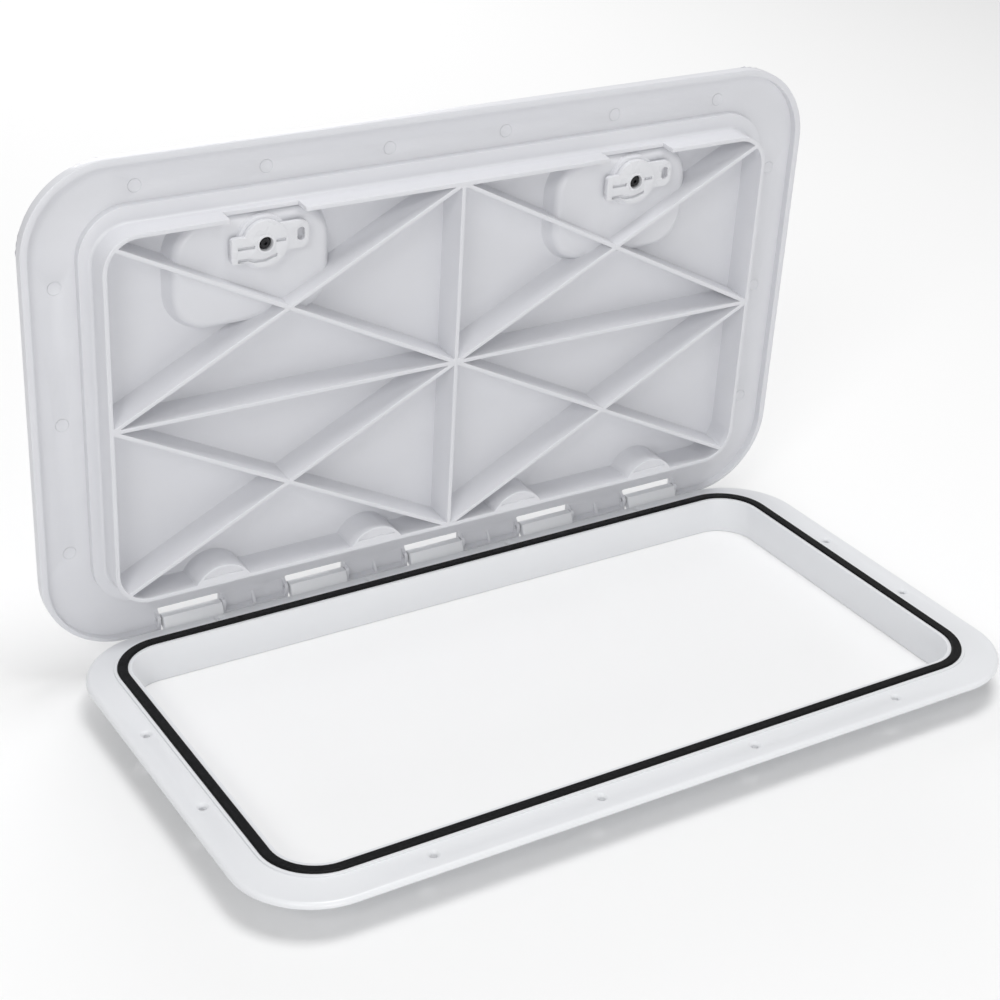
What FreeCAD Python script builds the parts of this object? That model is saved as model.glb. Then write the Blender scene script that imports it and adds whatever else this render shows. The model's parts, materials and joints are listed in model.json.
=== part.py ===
import FreeCAD, Part
import math
import os

import Sketcher

# A deck hatch: a moulded frame that is screwed into a cut-out in a boat's deck, a ribbed tray lid
# on a long hinge, a rubber seal between them, and two quarter-turn latches in dishes of the lid.
#
# Row frame: X along the hatch's long side, +Y towards the hinge, +Z up.  Z = 0 is the deck plane,
# the underside of the frame's flange, and the origin is the centre of the opening at that plane.
#
# Everything that swings with the lid is drawn as it lies with the lid shut, measured from the
# hinge axis, and its Placement turns it up by lid_angle about that axis.

doc = FreeCAD.newDocument("DeckHatch")
V = FreeCAD.Vector
Z_AXIS = V(0, 0, 1)

# ---------------------------------------------------------------- driving dimensions, mm
SIZES = [
    # lid plate
    ("lid_over_end", 10.0, "how far the lid reaches past the frame at each end"),
    ("lid_over_front", 6.5, "how far the lid reaches past the frame's front edge"),
    ("lid_over_hinge", 8.8, "how far the lid reaches past the hinge axis"),
    ("lid_corner_over", 4.0, "how much larger the lid's corner radius is than the frame's"),
    ("lid_skin", 3.5, "thickness of the lid's plate"),
    ("lid_edge_round", 2.5, "rounding of the lid's upper edge"),
    ("lip_width", 4.8, "width of the lip round the lid's edge"),
    ("lip_back", 2.4, "width of the lip along the hinge side"),
    ("lip_drop", 5.5, "how far lip and sealing land stand below the plate"),
    ("lid_angle", 87.0, "how far the lid stands open in this pose"),
    ("mark_radius", 4.5, "radius of the round marks left by the mould's pins"),
    ("mark_depth", 0.3, "depth of those marks"),
    ("mark_front", 10.5, "from the sealing land's front edge to the row of marks"),
    ("mark_end", 14.0, "from the sealing land's ends to the rows of marks"),
    ("mark_pitch", 90.0, "spacing of the marks along the front"),
    ("mark_end_pitch", 97.0, "spacing of the marks along the ends"),
    # lid wall and ribs
    ("wall_height", 18.5, "height of the wall above the sealing land"),
    ("wall_thick", 3.1, "thickness of the wall at its edge"),
    ("wall_fit_end", 2.7, "gap between the wall's edge and the collar, ends"),
    ("wall_fit_side", 2.1, "gap between the wall's edge and the collar, front and back"),
    ("wall_draft", 1.2, "draft angle of wall and ribs"),
    ("wall_root", 2.2, "rounding where the wall meets the sealing land"),
    ("rib_thick", 3.0, "thickness of a rib at its edge"),
    ("land_cover", 3.5, "how far the sealing land reaches over the seal, ends and back"),
    ("land_cover_front", 6.6, "how far the sealing land reaches over the seal, front"),
    ("relief_reach", 13.5, "how far the half-round bosses reach into the pocket"),
    ("relief_radius", 23.0, "radius of the half-round bosses"),
    ("relief_rim", 2.2, "width of the raised rim on each boss"),
    ("relief_step", 0.8, "height of that rim"),
    ("relief_flat", 6.1, "height of the flat part inside that rim"),
    # frame
    ("open_length", 520.0, "clear length of the opening"),
    ("open_depth", 275.0, "clear depth of the opening"),
    ("open_corner", 28.0, "corner radius of the opening"),
    ("collar_wall", 3.0, "thickness of the collar"),
    ("collar_drop", 23.0, "how far the collar reaches below the deck plane"),
    ("flange_end", 33.0, "width of the flange at the ends"),
    ("flange_ahead", 35.0, "width of the flange at the front"),
    ("flange_behind", 23.0, "width of the flange at the back"),
    ("flange_corner", 56.0, "outside corner radius of the frame"),
    ("flange_thick", 4.0, "thickness of the flange"),
    ("flange_round", 3.0, "rounding of the flange's upper edge"),
    ("rim_rise", 1.4, "height of the seal's rim above the flange"),
    ("rim_land", 2.2, "width of the rim outside the seal"),
    # seal
    ("seal_inset", 2.8, "from the opening to the seal's groove"),
    ("seal_width", 7.0, "width of the seal"),
    ("seal_height", 4.0, "height of the seal as the shut lid squeezes it"),
    ("seal_proud", 1.2, "how far the seal stands above its rim"),
    ("seal_slack", 0.1, "gap between the seal and each side of its groove"),
    ("shut_gap", 0.2, "gap drawn between the shut lid and the seal"),
    # deck screws
    ("screw_corner", 113.75, "from the frame's ends to the outer screws of the two rows"),
    ("screw_margin", 14.0, "from the frame's front edge to the front row"),
    ("screw_end_margin", 13.5, "from the frame's ends to the end rows"),
    ("screw_back_margin", 6.0, "from the frame's back edge to the back row"),
    ("screw_end_pitch", 90.0, "spacing of the two screws at each end"),
    ("screw_end_shift", 3.5, "how far the end pairs sit towards the front"),
    ("screw_hole", 4.6, "diameter of a screw hole"),
    ("screw_sink", 8.0, "diameter of its countersink"),
    # hinge
    ("hinge_behind", 4.7, "from the frame's back edge to the hinge axis"),
    ("hinge_z", 9.0, "height of the hinge axis above the deck plane"),
    ("knuckle_cover", 1.45, "wall of a knuckle above the bore"),
    ("knuckle_ahead", 2.75, "wall of a knuckle in front of the bore"),
    ("knuckle_behind", 1.85, "wall of a knuckle behind the bore"),
    ("knuckle_bevel", 1.4, "size of the bevel along a knuckle's back edge"),
    ("knuckle_slope", 2.6, "how far a knuckle's front face leans back"),
    ("knuckle_corner", 97.0, "from the frame's ends to the middle of the outer knuckles"),
    ("knuckle_gap", 46.5, "width of the lid's notches for the knuckles"),
    ("knuckle_side", 0.9, "gap at each end of a knuckle"),
    ("notch_clear", 2.3, "gap between a knuckle's top edge and the back of its notch"),
    ("cheek_thick", 2.6, "thickness of the lid's cheeks beside a notch"),
    ("cheek_wall", 1.75, "wall of a cheek round the bore"),
    ("gusset_thick", 2.2, "thickness of the small web in each hinge tab"),
    ("gusset_reach", 8.0, "length of that web"),
    ("pin_radius", 1.5, "radius of the hinge pins"),
    ("pin_fit", 0.05, "radial clearance of the hinge pins"),
    ("pin_bite", 2.2, "how far a pin reaches into a cheek"),
    ("pin_tip", 0.5, "chamfer on a pin's ends"),
    # latches
    ("latch_end", 115.5, "from the opening's ends to a latch axis"),
    ("latch_setback", 25.0, "from the opening's front edge to a latch axis"),
    ("dish_width", 118.0, "width of a latch dish inside the lid"),
    ("dish_depth", 83.0, "size of a latch dish from front to back"),
    ("dish_corner", 29.0, "corner radius of a latch dish"),
    ("dish_shift", 6.0, "how far a dish lies to the left of its latch axis"),
    ("dish_sink", 13.0, "how deep the dish is sunk into the lid's top"),
    ("dish_wall", 3.0, "thickness of the dish"),
    ("dish_draft", 20.0, "slope of the dish's sides"),
    ("dish_round", 7.0, "rounding of the dish's bulge inside the lid"),
    ("dish_foot", 4.0, "rounding round the dish's floor"),
    ("boss_radius", 18.6, "radius of the boss under the cam"),
    ("boss_height", 3.2, "height of that boss"),
    ("seat_radius", 10.6, "radius of the sunk seat in that boss"),
    ("seat_depth", 3.0, "depth of that seat"),
    ("stem_radius", 7.0, "radius of the latch stem"),
    ("stem_fit", 0.06, "radial clearance of the stem in the lid"),
    ("ring_radius", 1.05, "radius of the stem seal's section"),
    ("ring_fit", 0.1, "gap between the stem seal and what is round it"),
    ("washer_thick", 0.8, "thickness of the thrust washer"),
    ("washer_inset", 0.4, "gap between thrust washer and seat or stem"),
    ("cam_play", 0.1, "play of the cam between washer and lid"),
    ("cam_sleeve", 10.2, "radius of the cam's sleeve in the seat"),
    ("cam_plate", 2.6, "thickness of the cam's plate"),
    ("cam_rib", 1.2, "height of hub and border on the plate"),
    ("cam_ring", 0.7, "height of the ring round the open bore"),
    ("ring_wall", 1.5, "width of that ring"),
    ("cam_bore", 5.0, "radius of the open bore in the cam"),
    ("cam_bore_depth", 4.4, "depth of that bore"),
    ("cam_hub", 16.3, "radius of the cam's hub"),
    ("keeper_bite", 3.5, "how far the turned cam reaches past the collar"),
    ("cam_tail_high", 12.3, "from the latch axis to the leading edge of the cam's tail"),
    ("cam_tail_low", 7.0, "from the latch axis to the trailing edge of the tail"),
    ("cam_tail_round", 6.0, "corner radius of the tail"),
    ("cam_wing", 24.2, "from the latch axis to the end of the cam's wing"),
    ("cam_wing_high", 6.6, "from the latch axis to the leading edge of the wing"),
    ("cam_wing_low", 11.4, "from the latch axis to the trailing edge of the wing"),
    ("cam_border", 4.6, "width of the plain border at the wing's end"),
    ("wing_round", 2.5, "corner radius of the wing"),
    ("cam_groove", 2.2, "width of the grooves in the cam"),
    ("cam_groove_depth", 2.2, "depth of those grooves"),
    ("groove_inset", 1.0, "wall left beside those grooves"),
    ("groove_bend", 1.8, "how far the long groove swings out and back"),
    ("slot_length", 9.0, "length of the slot in the cam's tail"),
    ("slot_width", 5.4, "width of that slot"),
    ("slot_inset", 5.8, "from the tail's tip to the middle of the slot"),
    ("square_size", 6.8, "width of the square that turns the cam"),
    ("square_fit", 0.08, "gap between that square and each side of its socket"),
    ("handle_hub", 13.0, "radius of the handle's hub"),
    ("handle_reach", 46.0, "from the latch axis to the handle's tip"),
    ("handle_width", 20.0, "width of the handle's arm"),
    ("handle_plate", 4.5, "thickness of hub and arm"),
    ("handle_play", 0.3, "gap between the handle and the dish"),
    ("grip_width", 8.0, "width of the grip along the arm"),
    ("grip_inset", 4.0, "from the arm's tip to the end of the grip"),
    ("grip_below", 1.0, "how far the grip stays below the lid's top"),
    ("screw_radius", 2.0, "radius of the cam screw"),
    ("screw_fit", 0.03, "radial clearance drawn round the cam screw"),
    ("screw_length", 10.0, "length of the cam screw under its head"),
    ("thread_spare", 1.1, "depth of the threaded hole past the cam screw"),
    ("head_radius", 3.4, "radius of the cam screw's head"),
    ("head_height", 2.0, "height of the cam screw's head"),
    ("head_socket", 1.4, "radius of the socket in the head"),
    ("socket_depth", 1.2, "depth of that socket"),
    ("lock_washer", 0.6, "thickness of the washer under the screw's head"),
    ("lock_fit", 0.3, "gap between that washer and the cam's bore"),
    ("keeper_side", 1.5, "gap between the swinging cam and each side of its window"),
    ("keeper_over", 0.6, "gap between the cam and the upper edge of its window"),
    ("keeper_under", 1.6, "gap between the cam and the lower edge of its window"),
    ("notch_side", 1.2, "gap between the swinging cam and each side of the wall's notch"),
    ("notch_over", 4.0, "gap between the cam and the bottom of that notch"),
]

# Sizes that follow from others: alias, expression, what it is.
DERIVED = [
    ("flange_length", "open_length + 2 * flange_end", "outside length of the frame"),
    ("flange_front", "open_depth / 2 + flange_ahead", "opening's middle to the front edge"),
    ("flange_back", "open_depth / 2 + flange_behind", "opening's middle to the back edge"),
    ("hinge_y", "flange_back + hinge_behind", "opening's middle to the hinge axis"),
    ("lid_length", "flange_length + 2 * lid_over_end", "outside length of the lid"),
    ("lid_front", "flange_front + lid_over_front", "opening's middle to the lid's free edge"),
    ("lid_back", "hinge_y + lid_over_hinge", "opening's middle to the lid's hinge edge"),
    ("lid_corner", "flange_corner + lid_corner_over", "outside corner radius of the lid"),
    ("screw_pitch", "(flange_length / 2 - screw_corner) / 1.5", "spacing of the screws in a row"),
    ("knuckle_pitch", "(flange_length / 2 - knuckle_corner) / 2", "spacing of the knuckles"),
    ("latch_x", "open_length / 2 - latch_end", "from the middle of the hatch to a latch axis"),
    ("bore_radius", "pin_radius + pin_fit", "radius of the bores for the hinge pins"),
    ("knuckle_top", "bore_radius + knuckle_cover", "hinge axis to a knuckle's flat top"),
    ("knuckle_front", "bore_radius + knuckle_ahead", "hinge axis to that top's front edge"),
    ("knuckle_back", "bore_radius + knuckle_behind", "hinge axis to the back of a knuckle"),
    ("notch_reach", "knuckle_front + notch_clear", "hinge axis to the back of a notch"),
    ("cheek_radius", "bore_radius + cheek_wall", "radius of a cheek round the hinge pin"),
    ("land_side", "wall_fit_end + seal_inset + land_cover", "width of the land, ends and back"),
    ("land_front", "wall_fit_side + seal_inset + land_cover_front", "width of the land, front"),
    ("seal_top", "flange_thick + rim_rise + seal_proud", "top of the seal above the deck"),
    ("land_z", "seal_top + shut_gap - hinge_z", "sealing land from the hinge axis"),
    ("plate_z", "land_z + lip_drop", "underside of the lid's plate"),
    ("top_z", "plate_z + lid_skin", "outer face of the lid"),
    ("wall_z", "land_z - wall_height", "edge of the lid's wall and ribs"),
    ("wall_x", "open_length / 2 - wall_fit_end", "outside half length of the wall"),
    ("wall_y", "open_depth / 2 - wall_fit_side", "outside half depth of the wall"),
    ("wall_corner", "open_corner - wall_fit_end", "outside corner radius of the wall"),
    ("groove_x", "open_length / 2 + seal_inset", "inner half length of the seal groove"),
    ("groove_y", "open_depth / 2 + seal_inset", "inner half depth of the seal groove"),
    ("groove_width", "seal_width + 2 * seal_slack", "width of the seal groove"),
    ("screw_front_y", "-(flange_front - screw_margin)", "front row of deck screws"),
    ("screw_back_y", "flange_back - screw_back_margin", "back row of deck screws"),
    ("latch_y", "open_depth / 2 - latch_setback", "latch axis from the opening's middle"),
    ("dish_z", "top_z - dish_sink", "outer face of a dish's floor"),
    ("dish_in_z", "dish_z - dish_wall", "inner face of a dish's floor"),
    ("boss_z", "dish_in_z - boss_height", "face of the boss under a cam"),
    ("seat_z", "boss_z + seat_depth", "bottom of the seat in that boss"),
    ("sleeve_z", "seat_z - washer_thick - cam_play", "end of the cam's sleeve"),
    ("cam_z", "boss_z - 2 * cam_play", "face of the cam's plate towards the lid"),
    ("plate_low_z", "cam_z - cam_plate", "other face of the cam's plate"),
    ("hub_z", "plate_low_z - cam_rib", "face of the cam's hub"),
    ("cam_low_z", "hub_z - cam_ring", "face of the ring round the cam's bore"),
    ("cam_floor_z", "cam_low_z + cam_bore_depth", "bottom of the cam's open bore"),
    ("head_z", "cam_floor_z - lock_washer", "underside of the cam screw's head"),
    ("cam_tail", "latch_setback + collar_wall + keeper_bite", "axis to the tail's tip"),
    ("tail_turn", "sqrt((cam_tail - cam_tail_round) ^ 2 + (cam_tail_high - cam_tail_round) ^ 2)",
     "radius on which the tail's corner centre swings"),
    ("tail_swing", "tail_turn + cam_tail_round", "largest radius of the turning cam"),
    ("wall_inner", "latch_setback - wall_fit_side - wall_thick", "latch axis to the wall"),
    ("window_half", "sqrt(tail_swing ^ 2 - latch_setback ^ 2) + keeper_side",
     "half width of a keeper window"),
    ("notch_half", "sqrt(tail_swing ^ 2 - wall_inner ^ 2) + notch_side",
     "half width of a notch in the wall"),
]

sheet = doc.addObject("Spreadsheet::Sheet", "Sizes")
for row, (alias, value, note) in enumerate(SIZES, start=1):
    sheet.set("A%d" % row, alias)
    sheet.set("B%d" % row, str(value))
    sheet.set("C%d" % row, note)
    sheet.setAlias("B%d" % row, alias)
for row, (alias, formula, note) in enumerate(DERIVED, start=len(SIZES) + 1):
    sheet.set("A%d" % row, alias)
    sheet.set("B%d" % row, "=" + formula)
    sheet.set("C%d" % row, note)
    sheet.setAlias("B%d" % row, alias)
doc.recompute()

ALIASES = sorted([name for name, _, _ in SIZES + DERIVED], key=len, reverse=True)


def size(alias):
    """Value of one cell of the sheet."""
    return float(getattr(sheet, alias))


def bound(formula):
    """A formula in the sheet's words, written so that other objects can use it."""
    words = []
    word = ""
    for letter in formula + " ":
        if letter.isalnum() or letter == "_":
            word += letter
            continue
        words.append("Sizes." + word if word in ALIASES else word)
        words.append(letter)
        word = ""
    return "".join(words).strip()


def number(formula):
    """Value of a formula now, to draw a sketch near its final shape."""
    result = sheet.evalExpression(bound(formula))
    return float(getattr(result, "Value", result))


# ---------------------------------------------------------------- helpers for bodies and sketches
subparts = []


def new_body(name):
    body = doc.addObject("PartDesign::Body", name)
    body.Label = name
    subparts.append(body)
    return body


def plane_of(body, role):
    for feature in body.Origin.OriginFeatures:
        if feature.Role == role:
            return feature
    raise RuntimeError("no plane " + role)


def new_sketch(body, name, level="0", role="XY_Plane", shift_x="0", shift_y="0", turn="0"):
    """A sketch on one of the body's own planes, moved along its normal by level, in the plane
    by shift_x and shift_y, and turned in the plane."""
    sketch = body.newObject("Sketcher::SketchObject", name)
    sketch.AttachmentSupport = [(plane_of(body, role), "")]
    sketch.MapMode = "FlatFace"
    sketch.AttachmentOffset = FreeCAD.Placement(V(0, 0, 0), FreeCAD.Rotation(Z_AXIS, 0))
    sketch.setExpression("AttachmentOffset.Base.x", bound(shift_x))
    sketch.setExpression("AttachmentOffset.Base.y", bound(shift_y))
    sketch.setExpression("AttachmentOffset.Base.z", bound(level))
    if turn != "0":
        sketch.AttachmentOffset.Rotation = FreeCAD.Rotation(Z_AXIS, number(turn))
        sketch.setExpression("AttachmentOffset.Rotation.Angle", bound(turn))
    return sketch


def drive(sketch, kind, where, formula):
    """Adds a dimension to a sketch and binds it to the sheet."""
    index = sketch.addConstraint(Sketcher.Constraint(kind, *where, number(formula)))
    sketch.setExpression("Constraints[%d]" % index, bound(formula))


def draw_polygon(sketch, points):
    """A closed outline of straight lines; each point is a pair of formulas."""
    places = [V(number(px), number(py), 0) for px, py in points]
    count = len(places)
    first = None
    for index in range(count):
        line = Part.LineSegment(places[index], places[(index + 1) % count])
        number_of_line = sketch.addGeometry(line, False)
        first = number_of_line if first is None else first
    for index in range(count):
        here = first + index
        there = first + (index + 1) % count
        sketch.addConstraint(Sketcher.Constraint("Coincident", here, 2, there, 1))
    for index, (px, py) in enumerate(points):
        drive(sketch, "DistanceX", (-1, 1, first + index, 1), px)
        drive(sketch, "DistanceY", (-1, 1, first + index, 1), py)


def draw_rectangle(sketch, x_low, x_high, y_low, y_high):
    draw_polygon(sketch, [(x_low, y_low), (x_high, y_low), (x_high, y_high), (x_low, y_high)])


def draw_circle(sketch, x, y, radius):
    centre = V(number(x), number(y), 0)
    index = sketch.addGeometry(Part.Circle(centre, Z_AXIS, number(radius)), False)
    drive(sketch, "Radius", (index,), radius)
    drive(sketch, "DistanceX", (-1, 1, index, 3), x)
    drive(sketch, "DistanceY", (-1, 1, index, 3), y)


def draw_round_rectangle(sketch, x_low, x_high, y_low, y_high, radius):
    """A rectangle with tangent arcs at its four corners."""
    left, right = number(x_low), number(x_high)
    low, high = number(y_low), number(y_high)
    turn = number(radius)
    quarter = math.pi / 2
    ends = [
        (V(left + turn, low, 0), V(right - turn, low, 0)),
        (V(right, low + turn, 0), V(right, high - turn, 0)),
        (V(right - turn, high, 0), V(left + turn, high, 0)),
        (V(left, high - turn, 0), V(left, low + turn, 0)),
    ]
    centres = [
        V(right - turn, low + turn, 0),
        V(right - turn, high - turn, 0),
        V(left + turn, high - turn, 0),
        V(left + turn, low + turn, 0),
    ]
    first = None
    for start, end in ends:
        index = sketch.addGeometry(Part.LineSegment(start, end), False)
        first = index if first is None else first
    for corner, centre in enumerate(centres):
        circle = Part.Circle(centre, Z_AXIS, turn)
        sketch.addGeometry(Part.ArcOfCircle(circle, (corner - 1) * quarter, corner * quarter), False)
    for corner in range(4):
        arc = first + 4 + corner
        after = first + (corner + 1) % 4
        sketch.addConstraint(Sketcher.Constraint("Tangent", first + corner, 2, arc, 1))
        sketch.addConstraint(Sketcher.Constraint("Tangent", arc, 2, after, 1))
    sketch.addConstraint(Sketcher.Constraint("Horizontal", first))
    sketch.addConstraint(Sketcher.Constraint("Horizontal", first + 2))
    sketch.addConstraint(Sketcher.Constraint("Vertical", first + 1))
    sketch.addConstraint(Sketcher.Constraint("Vertical", first + 3))
    for corner in range(1, 4):
        sketch.addConstraint(Sketcher.Constraint("Equal", first + 4, first + 4 + corner))
    drive(sketch, "Radius", (first + 4,), radius)
    drive(sketch, "DistanceX", (-1, 1, first + 3, 1), x_low)
    drive(sketch, "DistanceX", (-1, 1, first + 1, 1), x_high)
    drive(sketch, "DistanceY", (-1, 1, first, 1), y_low)
    drive(sketch, "DistanceY", (-1, 1, first + 2, 1), y_high)


def draw_arch(sketch, x, chord_y, reach, radius):
    """The part of a disc that stands above the line y = chord_y by reach."""
    centre_y = "(%s) + (%s) - (%s)" % (chord_y, reach, radius)
    drop = number(radius) - number(reach)
    half = math.sqrt(max(number(radius) ** 2 - drop ** 2, 1e-6))
    swing = math.atan2(drop, half)
    circle = Part.Circle(V(number(x), number(centre_y), 0), Z_AXIS, number(radius))
    arc = sketch.addGeometry(Part.ArcOfCircle(circle, swing, math.pi - swing), False)
    left = V(number(x) - half, number(chord_y), 0)
    right = V(number(x) + half, number(chord_y), 0)
    line = sketch.addGeometry(Part.LineSegment(left, right), False)
    sketch.addConstraint(Sketcher.Constraint("Coincident", arc, 2, line, 1))
    sketch.addConstraint(Sketcher.Constraint("Coincident", line, 2, arc, 1))
    sketch.addConstraint(Sketcher.Constraint("Horizontal", line))
    drive(sketch, "Radius", (arc,), radius)
    drive(sketch, "DistanceX", (-1, 1, arc, 3), x)
    drive(sketch, "DistanceY", (-1, 1, arc, 3), centre_y)
    drive(sketch, "DistanceY", (-1, 1, line, 1), chord_y)


def volume_of(body):
    doc.recompute()
    return body.Shape.Volume if body.Tip else 0.0


def pad(body, sketch, length, down=False, taper="0"):
    """Adds material, along the sketch's normal or against it."""
    before = volume_of(body)
    feature = body.newObject("PartDesign::Pad", "Pad_" + sketch.Name)
    feature.Profile = sketch
    feature.Refine = False
    feature.setExpression("Length", bound(length))
    feature.Reversed = down
    if taper != "0":
        feature.setExpression("TaperAngle", bound(taper))
    sketch.Visibility = False
    if volume_of(body) <= before:
        raise RuntimeError("pad adds nothing: " + sketch.Name)
    return feature


def pocket(body, sketch, length=None, up=False, taper="0"):
    """Removes material, against the sketch's normal or along it; right through with no length."""
    before = volume_of(body)
    feature = body.newObject("PartDesign::Pocket", "Pocket_" + sketch.Name)
    feature.Profile = sketch
    feature.Refine = False
    feature.Reversed = up
    if length is None:
        feature.Type = "ThroughAll"
    else:
        feature.setExpression("Length", bound(length))
    if taper != "0":
        feature.setExpression("TaperAngle", bound(taper))
    sketch.Visibility = False
    if volume_of(body) >= before:
        raise RuntimeError("pocket cuts nothing: " + sketch.Name)
    return feature


def edges_where(body, test):
    """Names of the body's edges whose bounding box passes a test."""
    doc.recompute()
    names = []
    for index, edge in enumerate(body.Shape.Edges, start=1):
        if test(edge.BoundBox):
            names.append("Edge%d" % index)
    return names


def level_edges(body, level, test=lambda box: True):
    """Edges that lie flat at one height and pass a further test."""
    height = number(level)
    return edges_where(
        body,
        lambda box: abs(box.ZMin - height) < 0.01 and abs(box.ZMax - height) < 0.01 and test(box),
    )


def fillet(body, name, edges, radius, kind="Fillet"):
    """Rounds edges, or chamfers them when kind is Chamfer."""
    base = body.Tip
    feature = body.newObject("PartDesign::" + kind, name)
    feature.Base = (base, edges)
    feature.setExpression("Radius" if kind == "Fillet" else "Size", bound(radius))
    doc.recompute()
    if "Invalid" in feature.State:
        raise RuntimeError("fillet failed: " + name)
    return feature


def repeat(body, name, features, step, count):
    """Repeats features along X, one step apart."""
    pattern = body.newObject("PartDesign::LinearPattern", name)
    pattern.Originals = features
    pattern.Direction = (plane_of(body, "X_Axis"), [""])
    pattern.setExpression("Length", bound("%d * (%s)" % (count - 1, step)))
    pattern.Occurrences = count
    pattern.Refine = False
    body.Tip = pattern
    doc.recompute()
    return pattern


def ring_sketch(body, name, level, half_x, half_y, corner, width, shift_y="0"):
    """A sketch of a round-cornered ring that grows outwards from its inner outline."""
    ring = new_sketch(body, name, level, shift_y=shift_y)
    draw_round_rectangle(ring, "-(%s)" % half_x, half_x, "-(%s)" % half_y, half_y, corner)
    outer_x = "%s + %s" % (half_x, width)
    outer_y = "%s + %s" % (half_y, width)
    draw_round_rectangle(ring, "-(%s)" % outer_x, outer_x, "-(%s)" % outer_y, outer_y,
                         "%s + %s" % (corner, width))
    return ring


def ride_on_lid(piece):
    """Turns a piece, drawn as on the shut lid from the hinge axis, up with the lid."""
    turn = FreeCAD.Rotation(V(-1, 0, 0), size("lid_angle"))
    piece.Placement = FreeCAD.Placement(V(0, size("hinge_y"), size("hinge_z")), turn)
    piece.setExpression("Placement.Base.y", bound("hinge_y"))
    piece.setExpression("Placement.Base.z", bound("hinge_z"))
    piece.setExpression("Placement.Rotation.Angle", bound("lid_angle"))


SCREW_STEPS = (-1.5, -0.5, 0.5, 1.5)
KNUCKLES = 5
SIDES = ((-1, "left"), (1, "right"))


# ---------------------------------------------------------------- frame
def make_frame():
    """Flange, rim with the seal's groove, collar, hinge knuckles, screw holes, keeper windows."""
    body = new_body("frame")
    flange = new_sketch(body, "frame_flange")
    draw_round_rectangle(flange, "-flange_length / 2", "flange_length / 2",
                         "-flange_front", "flange_back", "flange_corner")
    pad(body, flange, "flange_thick")
    fillet(body, "frame_edge", level_edges(body, "flange_thick"), "flange_round")

    rim = new_sketch(body, "frame_rim")
    draw_round_rectangle(
        rim,
        "-(groove_x + groove_width + rim_land)", "groove_x + groove_width + rim_land",
        "-(groove_y + groove_width + rim_land)", "groove_y + groove_width + rim_land",
        "open_corner + seal_inset + groove_width + rim_land",
    )
    pad(body, rim, "flange_thick + rim_rise")

    collar = new_sketch(body, "frame_collar")
    draw_round_rectangle(
        collar,
        "-(open_length / 2 + collar_wall)", "open_length / 2 + collar_wall",
        "-(open_depth / 2 + collar_wall)", "open_depth / 2 + collar_wall",
        "open_corner + collar_wall",
    )
    pad(body, collar, "collar_drop", down=True)

    opening = new_sketch(body, "frame_opening", "seal_top")
    draw_round_rectangle(opening, "-open_length / 2", "open_length / 2",
                         "-open_depth / 2", "open_depth / 2", "open_corner")
    pocket(body, opening)

    groove = ring_sketch(body, "frame_groove", "flange_thick + rim_rise", "groove_x", "groove_y",
                         "open_corner + seal_inset", "groove_width")
    pocket(body, groove, "seal_height - seal_proud")

    first = "-%d * knuckle_pitch - knuckle_gap / 2 + knuckle_side" % (KNUCKLES // 2)
    knuckle = new_sketch(body, "frame_knuckle", first, "YZ_Plane")
    front = "(hinge_y - knuckle_front)"
    draw_polygon(knuckle, [
        ("flange_back - flange_round * 2", "0"),
        ("flange_back", "0"),
        ("hinge_y + knuckle_back", "hinge_z - bore_radius - knuckle_bevel"),
        ("hinge_y + knuckle_back", "hinge_z + knuckle_top - knuckle_bevel"),
        ("hinge_y + knuckle_back - knuckle_bevel", "hinge_z + knuckle_top"),
        (front, "hinge_z + knuckle_top"),
        (front + " - knuckle_slope", "flange_thick"),
        ("flange_back - flange_round * 2", "flange_thick"),
    ])
    knuckles = pad(body, knuckle, "knuckle_gap - 2 * knuckle_side")
    repeat(body, "frame_knuckles", [knuckles], "knuckle_pitch", KNUCKLES)
    bore = new_sketch(body, "frame_pin_bore", "-flange_length / 2", "YZ_Plane")
    draw_circle(bore, "hinge_y", "hinge_z", "bore_radius")
    pocket(body, bore, up=True)

    screws = [("%g * screw_pitch" % step, "screw_front_y") for step in SCREW_STEPS]
    screws += [("%g * screw_pitch" % step, "screw_back_y") for step in SCREW_STEPS]
    screws += [("%d * (flange_length / 2 - screw_end_margin)" % side,
                "%d * screw_end_pitch / 2 - screw_end_shift" % end)
               for side in (-1, 1) for end in (-1, 1)]
    holes = new_sketch(body, "frame_screw_holes", "flange_thick")
    sinks = new_sketch(body, "frame_screw_sinks", "flange_thick")
    for hole_x, hole_y in screws:
        draw_circle(holes, hole_x, hole_y, "screw_hole / 2")
        draw_circle(sinks, hole_x, hole_y, "screw_sink / 2")
    pocket(body, holes)
    pocket(body, sinks, "(screw_sink - screw_hole) / 2", taper="-45")

    for side, word in SIDES:
        window = new_sketch(body, "keeper_window_" + word, "open_depth / 2 - 1", "XZ_Plane")
        draw_rectangle(
            window,
            "%d * latch_x - window_half" % side, "%d * latch_x + window_half" % side,
            "hinge_z + cam_low_z - keeper_under", "hinge_z + cam_z + keeper_over",
        )
        pocket(body, window, "collar_wall + 2", up=True)
    return body


# ---------------------------------------------------------------- seal
def make_seal():
    """Rubber ring in the frame's groove, with a rounded top."""
    body = new_body("seal")
    ring = ring_sketch(body, "seal_ring", "seal_top - seal_height", "groove_x + seal_slack",
                       "groove_y + seal_slack", "open_corner + seal_inset + seal_slack",
                       "seal_width")
    pad(body, ring, "seal_height")
    fillet(body, "seal_round", level_edges(body, "seal_top"), "seal_proud")
    return body


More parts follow.
